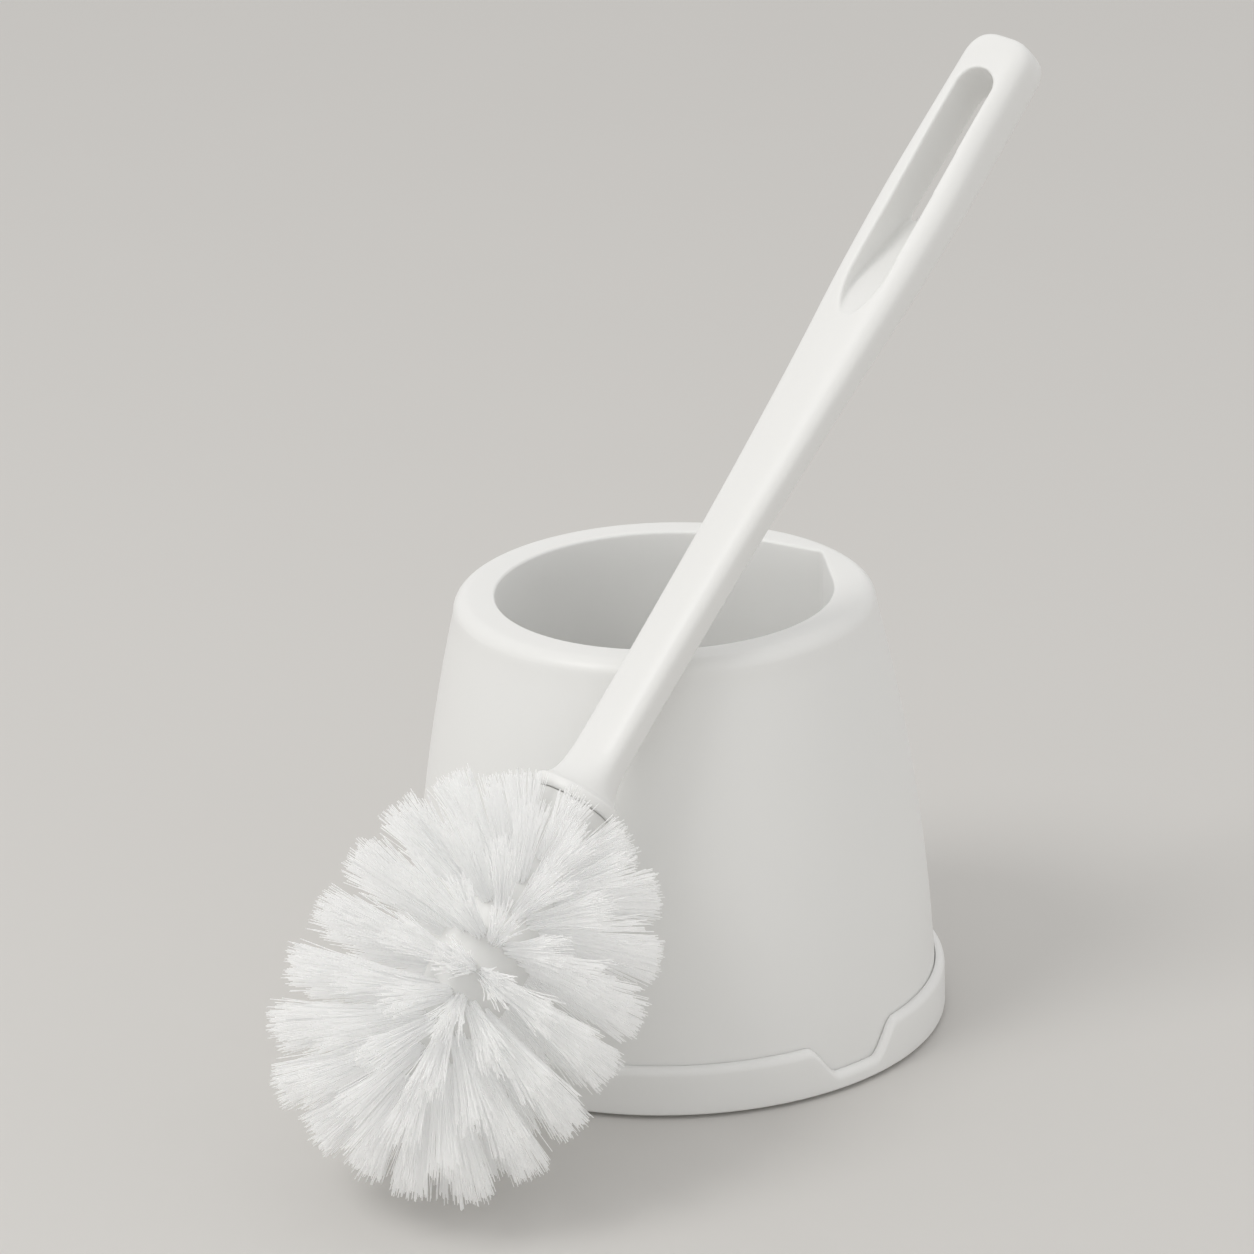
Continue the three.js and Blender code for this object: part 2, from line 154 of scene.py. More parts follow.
class Finishes(bpy.types.PropertyGroup):
    plastic: colour("Plastic", "Colour of the moulded pieces", (0.81, 0.81, 0.80))
    plastic_shade: colour("Plastic shade", "Its slightly darker patches", (0.79, 0.79, 0.775))
    bristle: colour("Bristle", "Colour of the filaments", (0.97, 0.97, 0.968))
    bristle_shade: colour("Bristle shade", "Their slightly greyer patches", (0.93, 0.93, 0.925))
    floor: colour("Floor", "Colour of the floor", (0.635, 0.622, 0.602))


class StudioSettings(bpy.types.PropertyGroup):
    lens: bpy.props.FloatProperty(
        name="Lens", description="Focal length on a 36 mm sensor", default=172.25, unit="CAMERA"
    )
    camera_place: bpy.props.FloatVectorProperty(
        name="Camera", description="Where the camera stands",
        default=(-0.01045, -1.53334, 0.68599), subtype="TRANSLATION", unit="LENGTH",
    )
    camera_tilt: bpy.props.FloatProperty(
        name="Tilt", description="How far the camera looks down",
        default=math.radians(20.484), subtype="ANGLE",
    )
    camera_roll: bpy.props.FloatProperty(
        name="Roll", description="How far the camera is turned about its view",
        default=math.radians(-1.8036), subtype="ANGLE",
    )
    key_power: bpy.props.FloatProperty(
        name="Key light", description="Power of the large light", default=12.6, unit="POWER"
    )
    fill_power: bpy.props.FloatProperty(
        name="Fill light", description="Power of the weak light", default=1, unit="POWER"
    )
    surroundings: bpy.props.FloatProperty(
        name="Surroundings", description="Brightness of the world", default=0.78
    )


GROUPS = {
    "base_dish_sizes": BaseDishSizes,
    "shell_sizes": ShellSizes,
    "handle_sizes": HandleSizes,
    "head_sizes": HeadSizes,
    "finishes": Finishes,
    "studio_settings": StudioSettings,
}


# Meshes ---------------------------------------------------------------------------------------


def loose_object(name, points, faces):
    """A mesh object at the origin, with its faces turned outwards."""
    mesh = bpy.data.meshes.new(name)
    mesh.from_pydata([tuple(point) for point in points], [], faces)
    work = bmesh.new()
    work.from_mesh(mesh)
    bmesh.ops.recalc_face_normals(work, faces=work.faces)
    work.to_mesh(mesh)
    work.free()
    found = bpy.data.objects.new(name, mesh)
    bpy.context.scene.collection.objects.link(found)
    return found


def finished(name, points, faces, material):
    """A smooth-shaded piece in its material, with its true corners kept crisp."""
    piece = loose_object(name, points, faces)
    piece.data.validate()
    for polygon in piece.data.polygons:
        polygon.use_smooth = True
    piece.data.materials.append(material)
    sharpen(piece)
    return piece


def turned_surface(paths, ends):
    """Points and faces of a closed surface from one path of (radius, height) per angle.

    With ends "closed" each path is a loop; with "poles" it starts and stops on the axis.
    """
    points = []
    faces = []
    rows = []
    if ends == "poles":
        first_path = paths[0][1]
        points += [(0, 0, first_path[0][1]), (0, 0, first_path[-1][1])]
    for turn, path in paths:
        row = []
        inner = path[1:-1] if ends == "poles" else path
        for radius, height in inner:
            row.append(len(points))
            points.append((radius * math.cos(turn), radius * math.sin(turn), height))
        if ends == "poles":
            row = [0] + row + [1]
        rows.append(row)
    for index, row in enumerate(rows):
        after = rows[(index + 1) % len(rows)]
        last = len(row) if ends == "closed" else len(row) - 1
        for step in range(last):
            ahead = (step + 1) % len(row)
            corners = [row[step], after[step], after[ahead], row[ahead]]
            unique = list(dict.fromkeys(corners))
            if len(unique) > 2:
                faces.append(unique)
    return points, faces


def arc(centre_r, centre_z, radius, start, stop, steps):
    """Points on an arc in a section, from one angle in degrees to another."""
    found = []
    for step in range(steps + 1):
        turn = math.radians(start + (stop - start) * step / steps)
        found.append((centre_r + radius * math.cos(turn), centre_z + radius * math.sin(turn)))
    return found


def between(start, stop, steps):
    """Points after start, up to and with stop."""
    return [
        (
            start[0] + (stop[0] - start[0]) * step / steps,
            start[1] + (stop[1] - start[1]) * step / steps,
        )
        for step in range(1, steps + 1)
    ]


def angles_round(number, close_to, spread, extra):
    """Evenly spread angles, with extra ones close to one direction."""
    found = [2 * math.pi * step / number for step in range(number)]
    found += [close_to + spread * (2 * step / extra - 1) for step in range(extra + 1)]
    found = sorted(turn % (2 * math.pi) for turn in found)
    kept = [found[0]]
    for turn in found[1:]:
        if turn - kept[-1] > math.radians(0.12):
            kept.append(turn)
    return kept


def eased(low, high, amount):
    amount = min(max(amount, 0.0), 1.0)
    return low + (high - low) * amount * amount * (3 - 2 * amount)


# Base dish ------------------------------------------------------------------------------------


def collar_top(sizes, turn):
    """Height of the collar's edge, which dips at the thumb notch."""
    away = abs((turn - sizes.notch_angle + math.pi) % (2 * math.pi) - math.pi)
    around = away * sizes.radius
    half = sizes.notch_width / 2
    half_floor = sizes.notch_floor_width / 2
    climb = (around - half_floor) / (half - half_floor)
    return eased(sizes.notch_floor, sizes.collar_height, climb)


def base_dish_path(sizes, turn):
    top = collar_top(sizes, turn)
    inner = sizes.radius - sizes.collar_wall
    edge = sizes.radius - sizes.rounding
    shell_wall = bpy.context.scene.shell_sizes.wall
    ring_outer = SHELL_BOX[1][0] - shell_wall - SEAT_GAP
    ring_inner = ring_outer - sizes.ring_wall
    small = 0.4 * MM
    heel = 2 * small
    foot = sizes.foot_radius
    path = [(0, 0), (foot * 0.5, 0), (foot - small, 0)]
    path += [(foot, small), (foot, sizes.foot_height)]
    path += [(foot + 2 * MM, sizes.foot_height)]
    path += arc(sizes.radius - heel, sizes.foot_height + heel, heel, -90, 0, 4)
    path += between(path[-1], (sizes.radius, top - sizes.rounding), 4)
    path += arc(edge, top - sizes.rounding, sizes.rounding, 0, 90, 8)[1:]
    path += [(inner + 0.05 * MM, top), (inner, top - 0.15 * MM)]
    path += between(path[-1], (inner, sizes.floor), 3)
    path += [(ring_outer, sizes.floor)]
    path += arc(ring_outer - small, sizes.ring_height - small, small, 0, 90, 3)
    path += arc(ring_inner + small, sizes.ring_height - small, small, 90, 180, 3)
    fillet = 0.6 * MM
    path += [(ring_inner, sizes.floor + fillet), (ring_inner - fillet, sizes.floor)]
    path += [(ring_inner * 0.5, sizes.floor), (0, sizes.floor)]
    return path


class BaseDish(bpy.types.Operator):
    """Make the dish that the shell stands in, with its thumb notch"""

    bl_idname = "toilet_brush.base_dish"
    bl_label = "Base dish"

    def execute(self, context):
        sizes = context.scene.base_dish_sizes
        turns = angles_round(240, sizes.notch_angle, 0.26, 60)
        paths = [(turn, base_dish_path(sizes, turn)) for turn in turns]
        points, faces = turned_surface(paths, "poles")
        dish = finished("base_dish_moulding", points, faces, white_plastic("base_plastic"))
        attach(dish, "base")
        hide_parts("base_dish")
        return {"FINISHED"}


# Shell ----------------------------------------------------------------------------------------


def opening_radius(sizes, turn, outset):
    """Distance from the axis to the opening's edge, moved out by outset."""
    away = abs((turn - sizes.corner_angle + math.pi) % (2 * math.pi) - math.pi)
    radius = sizes.opening + outset
    corner = sizes.corner_radius + outset
    distance = sizes.corner_reach - sizes.corner_radius
    spread = math.acos((sizes.opening - sizes.corner_radius) / distance)
    if away >= spread:
        return radius
    touch = math.atan2(corner * math.sin(spread), distance + corner * math.cos(spread))
    if away >= touch:
        return radius / math.cos(away - spread)
    across = distance * math.sin(away)
    return distance * math.cos(away) + math.sqrt(corner ** 2 - across ** 2)


class ShellWall:
    """The outer face of the shell: upright inside the collar, then leaning and bowing in."""

    def __init__(self, sizes, collar):
        self.foot = SHELL_BOX[1][0]
        self.top = SHELL_BOX[1][2]
        self.collar = collar
        self.draft = sizes.draft
        self.shoulder = self.top - sizes.rim_rounding
        rise = self.shoulder - collar
        self.bow = (self.foot - sizes.rim_radius - self.draft * rise) / rise ** 2
        self.lean = math.atan(self.draft + 2 * self.bow * rise)
        self.shoulder_r = self.radius(self.shoulder) - sizes.rim_rounding * math.cos(self.lean)

    def radius(self, height):
        above = max(height - self.collar, 0)
        return self.foot - self.draft * above - self.bow * above ** 2


def shell_path(sizes, wall, turn):
    foot = SHELL_BOX[0][2]
    top = wall.top
    under = top - sizes.flange
    low = wall.shoulder - 1 * MM
    edge = sizes.edge_rounding
    lip = sizes.wall / 2
    hole = opening_radius(sizes, turn, 0)
    skirt = opening_radius(sizes, turn, sizes.wall)
    skirt_foot = top - sizes.opening_depth
    heights = [foot, wall.collar * 0.6]
    heights += [wall.collar + (low - wall.collar) * step / 22 for step in range(23)]
    path = [(wall.radius(height), height) for height in heights]
    path += arc(
        wall.shoulder_r, wall.shoulder, sizes.rim_rounding, math.degrees(wall.lean), 90, 9
    )
    path += between(path[-1], (hole + edge, top), 3)
    path += arc(hole + edge, top - edge, edge, 90, 180, 5)[1:]
    path += between(path[-1], (hole, skirt_foot + lip), 5)
    path += arc(hole + lip, skirt_foot + lip, lip, 180, 360, 6)[1:]
    path += between(path[-1], (skirt, under), 4)
    path += between(path[-1], (wall.shoulder_r - 1 * MM, under), 2)
    inside = [height for height in reversed(heights) if height < under - 3 * MM]
    path += [(wall.radius(height) - sizes.wall, height) for height in inside]
    return path


class HolderShell(bpy.types.Operator):
    """Make the tapered shell with its flat top, opening and skirt"""

    bl_idname = "toilet_brush.holder_shell"
    bl_label = "Holder shell"

    def execute(self, context):
        sizes = context.scene.shell_sizes
        wall = ShellWall(sizes, context.scene.base_dish_sizes.collar_height)
        turns = angles_round(240, sizes.corner_angle, math.radians(2.4), 24)
        paths = [(turn, shell_path(sizes, wall, turn)) for turn in turns]
        points, faces = turned_surface(paths, "closed")
        shell = finished("holder_shell_moulding", points, faces, white_plastic("shell_plastic"))
        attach(shell, "shell")
        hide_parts("holder_shell")
        return {"FINISHED"}


def sharpen(piece):
    """Keeps true corners crisp while the rest is shaded smooth."""
    work = bmesh.new()
    work.from_mesh(piece.data)
    for edge in work.edges:
        if len(edge.link_faces) == 2 and edge.calc_face_angle(0) > CRISP_ANGLE:
            edge.smooth = False
    work.to_mesh(piece.data)
    work.free()


# How the brush lies ---------------------------------------------------------------------------


def node_points(name):
    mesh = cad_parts[name].data
    found = numpy.empty(len(mesh.vertices) * 3)
    mesh.vertices.foreach_get("co", found)
    return found.reshape(-1, 3)


def main_directions(points):
    """Directions from the longest spread to the shortest."""
    values, directions = numpy.linalg.eigh(numpy.cov((points - points.mean(axis=0)).T))
    return [directions[:, index] for index in numpy.argsort(values)[::-1]]


def brush_frame():
    """Matrix from the brush's own axes, +Z to its tip and -Y out of its face, to the frame."""
    core = node_points("head_core")
    grip = node_points("handle")
    up = main_directions(core)[0]
    if up @ (grip.mean(axis=0) - core.mean(axis=0)) < 0:
        up = -up
    middle = core.mean(axis=0)
    tip = (grip - middle) @ up
    seam = tip.max() - bpy.context.scene.handle_sizes.length
    origin = middle + up * seam
    flat = (grip - origin) - numpy.outer((grip - origin) @ up, up)
    wide = flat[(grip - origin) @ up > 0.15]
    across = main_directions(wide)[0]
    across = across - up * (across @ up)
    across /= numpy.linalg.norm(across)
    through = numpy.cross(up, across)
    if through[1] < 0:
        across, through = -across, -through
    place = Matrix(numpy.column_stack([across, through, up]).tolist()).to_4x4()
    place.translation = Vector(origin)
    return place


# Handle ---------------------------------------------------------------------------------------

# Distance from the collar's underside, half width and half thickness, in millimetres, and how
# square the section is: 2 for an ellipse, more for a rounded box.
HANDLE_STATIONS = [
    (2.8, 11.0, 11.0, 2.0),
    (3.6, 10.7, 10.6, 2.0),
    (5.6, 9.3, 8.7, 2.1),
    (9, 8.2, 6.6, 2.6),
    (13, 7.75, 5.4, 3.2),
    (19, 7.6, 4.9, 3.6),
    (47, 7.6, 4.9, 3.6),
    (82, 8.1, 4.8, 3.6),
    (108, 8.9, 4.8, 3.6),
    (135, 9.9, 5.2, 3.6),
    (161, 11.2, 6.0, 3.6),
    (187, 11.7, 6.6, 3.6),
    (208, 11.1, 7.4, 3.6),
    (230.4, 10.6, 7.6, 3.6),
]
STATION_STEPS = 8
TIP_ROUNDING = 8 * MM
TIP_TURN = math.radians(84)  # how far round the tip turns before its flat end
TIP_STEPS = 14
TIP_WIDTH_POWER = 0.5
TIP_THICKNESS_POWER = 0.25
SECTION_SIDES = 64


def spline(stations, steps):
    """A smooth line through the stations, steps points between each two."""
    found = []
    for index in range(len(stations) - 1):
        before = stations[max(index - 1, 0)]
        here, there = stations[index], stations[index + 1]
        after = stations[min(index + 2, len(stations) - 1)]
        for step in range(steps):
            t = step / steps
            found.append(
                tuple(
                    0.5
                    * (
                        2 * b
                        + (c - a) * t
                        + (2 * a - 5 * b + 4 * c - d) * t * t
                        + (3 * b - a - 3 * c + d) * t ** 3
                    )
                    for a, b, c, d in zip(before, here, there, after)
                )
            )
    found.append(tuple(stations[-1]))
    return found


def handle_stations(length):
    stations = [(*(value * MM for value in row[:3]), row[3]) for row in HANDLE_STATIONS]
    found = spline(stations, STATION_STEPS)
    _, half_width, half_thickness, squareness = found[-1]
    start = length - TIP_ROUNDING
    for step in range(1, TIP_STEPS + 1):
        turn = TIP_TURN * step / TIP_STEPS
        found.append(
            (
                start + TIP_ROUNDING * math.sin(turn) / math.sin(TIP_TURN),
                half_width * math.cos(turn) ** TIP_WIDTH_POWER,
                half_thickness * math.cos(turn) ** TIP_THICKNESS_POWER,
                squareness,
            )
        )
    return found


def section(half_width, half_thickness, squareness):
    """Points round a rounded box."""
    found = []
    for side in range(SECTION_SIDES):
        turn = 2 * math.pi * side / SECTION_SIDES
        c, s = math.cos(turn), math.sin(turn)
        power = 2 / squareness
        found.append(
            (
                half_width * math.copysign(abs(c) ** power, c),
                half_thickness * math.copysign(abs(s) ** power, s),
            )
        )
    return found


def lofted(sections):
    """Points and faces of a closed loft through (outline, height) sections."""
    points = []
    faces = []
    sides = len(sections[0][0])
    for outline, height in sections:
        points += [(x, y, height) for x, y in outline]
    for row in range(len(sections) - 1):
        for side in range(sides):
            ahead = (side + 1) % sides
            low, high = row * sides, (row + 1) * sides
            faces.append((low + side, low + ahead, high + ahead, high + side))
    for row, order in ((0, -1), (len(sections) - 1, 1)):
        middle = len(points)
        outline, height = sections[row]
        centre_x = sum(x for x, _ in outline) / sides
        centre_y = sum(y for _, y in outline) / sides
        points.append((centre_x, centre_y, height))
        for side in range(sides):
            pair = (row * sides + side, row * sides + (side + 1) % sides)
            faces.append((middle,) + pair[::order])
    return points, faces


SLOT_FRONT = -6.4 * MM  # where the ramp starts, at the face of the grip
SLOT_DEEPEST = 10 * MM  # past the back of the handle
SLOT_POINT = 0.06  # the slot's width at its point, as a part of its full width
SLOT_THINNEST = 0.15 * MM
SLOT_TAPER_STEPS = 12
SLOT_STRAIGHT_STEPS = 16
SLOT_ROUND_STEPS = 14


def slot_sections(sizes):
    """The slot's cut: pointed at its start, a long ramp, and round at the loop."""
    half = sizes.slot_width / 2
    end = sizes.length - sizes.slot_end_wall - half
    full = sizes.slot_start + sizes.slot_taper
    parts = [step / SLOT_TAPER_STEPS for step in range(SLOT_TAPER_STEPS)]
    heights = [sizes.slot_start + sizes.slot_taper * part for part in parts]
    parts = [step / SLOT_STRAIGHT_STEPS for step in range(SLOT_STRAIGHT_STEPS)]
    heights += [full + (end - full) * part for part in parts]
    parts = [step / SLOT_ROUND_STEPS for step in range(SLOT_ROUND_STEPS + 1)]
    heights += [end + half * math.sin(math.pi / 2 * part) for part in parts]
    found = []
    for height in heights:
        if height < full:
            part = (height - sizes.slot_start) / sizes.slot_taper
            width = half * (SLOT_POINT + (1 - SLOT_POINT) * (1 - (1 - part) ** 2))
        else:
            past = max(height - end, 0)
            width = max(math.sqrt(max(half ** 2 - past ** 2, 0)), SLOT_THINNEST)
        depth = (height - sizes.slot_start) / sizes.slot_ramp
        bottom = min(SLOT_FRONT + (SLOT_DEEPEST - SLOT_FRONT) * depth, SLOT_DEEPEST)
        above = -SLOT_DEEPEST
        outline = [(-width, above), (width, above), (width, bottom), (-width, bottom)]
        found.append((outline, height))
    return found


def collar_path(sizes):
    rounding = 1 * MM
    upright = sizes.collar_radius - rounding
    top = sizes.collar_height
    path = [(0, 0), (upright * 0.5, 0), (upright, 0)]
    path += arc(upright, rounding, rounding, -60, 0, 4)
    path += arc(upright, top - rounding, rounding, 0, 90, 5)
    path.append((0, top))
    return path


def applied(piece):
    """The piece's mesh with its modifiers carried out."""
    bpy.context.view_layer.update()
    evaluated = piece.evaluated_get(bpy.context.evaluated_depsgraph_get())
    return bpy.data.meshes.new_from_object(evaluated)


def dropped(piece):
    mesh = piece.data
    bpy.data.objects.remove(piece)
    bpy.data.meshes.remove(mesh)


class Handle(bpy.types.Operator):
    """Make the handle in one moulding: collar, flare, shaft, grip and hanging slot"""

    bl_idname = "toilet_brush.handle"
    bl_label = "Handle"

    def execute(self, context):
        sizes = context.scene.handle_sizes
        stations = handle_stations(sizes.length)
        sections = [(section(*row[1:]), row[0]) for row in stations]
        shaft = loose_object("handle_shaft", *lofted(sections))
        cutter = loose_object("handle_slot_cut", *lofted(slot_sections(sizes)))
        cut = shaft.modifiers.new("Slot", "BOOLEAN")
        cut.operation = "DIFFERENCE"
        cut.object = cutter
        cut.solver = "EXACT"
        path = collar_path(sizes)
        paths = [(2 * math.pi * step / 96, path) for step in range(96)]
        collar = loose_object("handle_collar", *turned_surface(paths, "poles"))
        cut_shaft = applied(shaft)
        work = bmesh.new()
        work.from_mesh(cut_shaft)
        work.from_mesh(collar.data)
        joined = bpy.data.meshes.new("handle_joined")
        work.to_mesh(joined)
        work.free()
        moulding = bpy.data.objects.new("handle_moulding_work", joined)
        context.scene.collection.objects.link(moulding)
        remesh = moulding.modifiers.new("Mould", "REMESH")
        remesh.mode = "VOXEL"
        remesh.voxel_size = sizes.grain
        smooth = moulding.modifiers.new("Soften", "SMOOTH")
        smooth.factor = 0.5
        smooth.iterations = sizes.softness
        mesh = applied(moulding)
        mesh.name = "handle_moulding"
        for spare in (shaft, cutter, collar, moulding):
            dropped(spare)
        mesh.transform(brush_frame())
        mesh.materials.clear()
        mesh.materials.append(white_plastic("handle_plastic"))
        for polygon in mesh.polygons:
            polygon.use_smooth = True
        handle = bpy.data.objects.new("handle_moulding", mesh)
        context.scene.collection.objects.link(handle)
        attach(handle, "brush")
        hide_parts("handle")
        return {"FINISHED"}


# Head -----------------------------------------------------------------------------------------

# Depth below the collar and radius of the core that the tufts stand in, in millimetres.
CORE_STATIONS = [
    (0.3, 10.3),
    (5, 9.2),
    (11, 7.2),
    (17, 6.6),
    (24, 9.2),
    (35.5, 12.4),
    (54, 12.0),
    (68, 9.4),
    (77.4, 6.4),
    (84, 4.2),
]
CORE_END = 88 * MM
CORE_END_RADIUS = 2.6 * MM
CORE_END_RISE = 0.35 * MM
SPIGOT_RADIUS = 3.6 * MM
SPIGOT_LENGTH = 12 * MM
SPIGOT_CHAMFER = 0.5 * MM
ROOT_DEPTH = 0.4 * MM  # how far the tufts' roots stand in the core
FIRST_ROOT = 25 * MM
LAST_ROOT = 82 * MM
TOP_SQUARENESS = 2.5
END_SQUARENESS = 2.8
INNERMOST_TIP = 19 * MM
FEWEST_TUFTS = 5
OUTLINE_STEPS = 400


def core_line():
    return spline([tuple(value * MM for value in row) for row in CORE_STATIONS], 5)


class HeadCore(bpy.types.Operator):
    """Make the core that the tufts stand in, with its neck and spigot"""

    bl_idname = "toilet_brush.head_core"
    bl_label = "Head core"

    def execute(self, context):
        path = [(0, -CORE_END), (CORE_END_RADIUS, CORE_END_RISE - CORE_END)]
        path += [(radius, -depth) for depth, radius in reversed(core_line())]
        path += [(SPIGOT_RADIUS, -SEAT_GAP), (SPIGOT_RADIUS, SPIGOT_LENGTH - SPIGOT_CHAMFER)]
        path += [(SPIGOT_RADIUS - SPIGOT_CHAMFER, SPIGOT_LENGTH), (0, SPIGOT_LENGTH)]
        paths = [(2 * math.pi * step / 72, path) for step in range(72)]
        points, faces = turned_surface(paths, "poles")
        place = brush_frame()
        points = [place @ Vector(point) for point in points]
        core = finished("head_core_moulding", points, faces, white_plastic("core_plastic"))
        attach(core, "brush")
        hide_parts("head_core")
        return {"FINISHED"}


def head_outline(sizes):
    """(radius, height) points from beside the collar round to the end of the head."""
    half = (sizes.bottom - sizes.top) / 2
    found = []
    for step in range(OUTLINE_STEPS + 1):
        turn = math.pi * step / OUTLINE_STEPS
        power = 2 / (TOP_SQUARENESS if turn < math.pi / 2 else END_SQUARENESS)
        radius = sizes.radius * abs(math.sin(turn)) ** power
        along = math.copysign(abs(math.cos(turn)) ** power, math.cos(turn))
        if turn > 1 or radius > INNERMOST_TIP:
            found.append((radius, -sizes.top - half + along * half))
    return found


def evenly_along(line, number):
    """number + 1 points evenly spread along a line, with the ends."""
    reach = [0.0]
    for before, after in zip(line, line[1:]):
        reach.append(reach[-1] + math.dist(before, after))
    found = []
    for step in range(number + 1):
        wanted = reach[-1] * step / number
        index = min(max(i for i, value in enumerate(reach) if value <= wanted), len(line) - 2)
        part = (wanted - reach[index]) / (reach[index + 1] - reach[index])
        before, after = line[index], line[index + 1]
        found.append(tuple(a + (b - a) * part for a, b in zip(before, after)))
    return found


def core_radius(depth):
    line = core_line()
    for (depth_a, radius_a), (depth_b, radius_b) in zip(line, line[1:]):
        if depth_a <= depth <= depth_b:
            part = (depth - depth_a) / (depth_b - depth_a)
            return radius_a + (radius_b - radius_a) * part
    return 0.0


def tuft_rings(sizes):
    """For each ring: its tufts as (root, reach to the tip, direction round the ring)."""
    tips = evenly_along(head_outline(sizes), len(RING_NODES) - 1)
    rings = []
    for index, (tip_radius, tip_height) in enumerate(tips):
        last = index == len(tips) - 1
        part = index / (len(tips) - 1)
        axis_height = -(FIRST_ROOT + (LAST_ROOT - FIRST_ROOT) * part)
        fitting = round(2 * math.pi * tip_radius / sizes.tuft_spacing)
        number = 1 if last else max(FEWEST_TUFTS, fitting)
        across = 0.0 if last else tip_radius
        start = 0.0
        while start < 0.9:
            radius = across * start
            height = axis_height + (tip_height - axis_height) * start
            if radius >= core_radius(-height) - ROOT_DEPTH:
                break
            start += 0.005
        tufts = []
        for tuft in range(number):
            turn = 2 * math.pi * (tuft + (index % 2) / 2) / number
            outwards = Vector((math.cos(turn), math.sin(turn), 0))
            root = outwards * across * start
            root.z = axis_height + (tip_height - axis_height) * start
            tip = outwards * across
            tip.z = tip_height
            tufts.append((root, tip - root, Vector((-math.sin(turn), math.cos(turn), 0))))
        rings.append(tufts)
    return rings


class TreeMaker:
    """Adds nodes to a tree and links them, left to right."""

    def __init__(self, tree):
        self.tree = tree
        self.column = 0

    def add(self, kind, inputs=None, **settings):
        node = self.tree.nodes.new(kind)
        node.location = (self.column, 0)
        self.column += 180
        for name, value in settings.items():
            setattr(node, name, value)
        for name, value in (inputs or {}).items():
            socket = node.inputs[name]
            if isinstance(value, bpy.types.NodeSocket):
                self.tree.links.new(value, socket)
            else:
                socket.default_value = value
        return node

    def maths(self, operation, *values):
        node = self.add("ShaderNodeMath", operation=operation)
        self.fill(node, values)
        return node.outputs[0]

    def vector(self, operation, *values):
        node = self.add("ShaderNodeVectorMath", operation=operation)
        self.fill(node, values)
        return node.outputs[0]

    def scaled(self, direction, amount):
        node = self.add("ShaderNodeVectorMath", {"Scale": amount}, operation="SCALE")
        self.tree.links.new(direction, node.inputs[0])
        return node.outputs[0]

    def fill(self, node, values):
        for index, value in enumerate(values):
            if isinstance(value, bpy.types.NodeSocket):
                self.tree.links.new(value, node.inputs[index])
            else:
                node.inputs[index].default_value = value

    def attribute(self, name, kind):
        node = self.add("GeometryNodeInputNamedAttribute", {"Name": name}, data_type=kind)
        return node.outputs[0]

    def random(self, low, high, seed, index):
        node = self.add("FunctionNodeRandomValue", data_type="FLOAT")
        floats = [s for s in node.inputs if s.type == "VALUE" and s.name in ("Min", "Max")]
        floats[0].default_value = low
        floats[1].default_value = high
        self.tree.links.new(index, node.inputs["ID"])
        self.tree.links.new(seed, node.inputs["Seed"])
        return next(s for s in node.outputs if s.type == "VALUE")


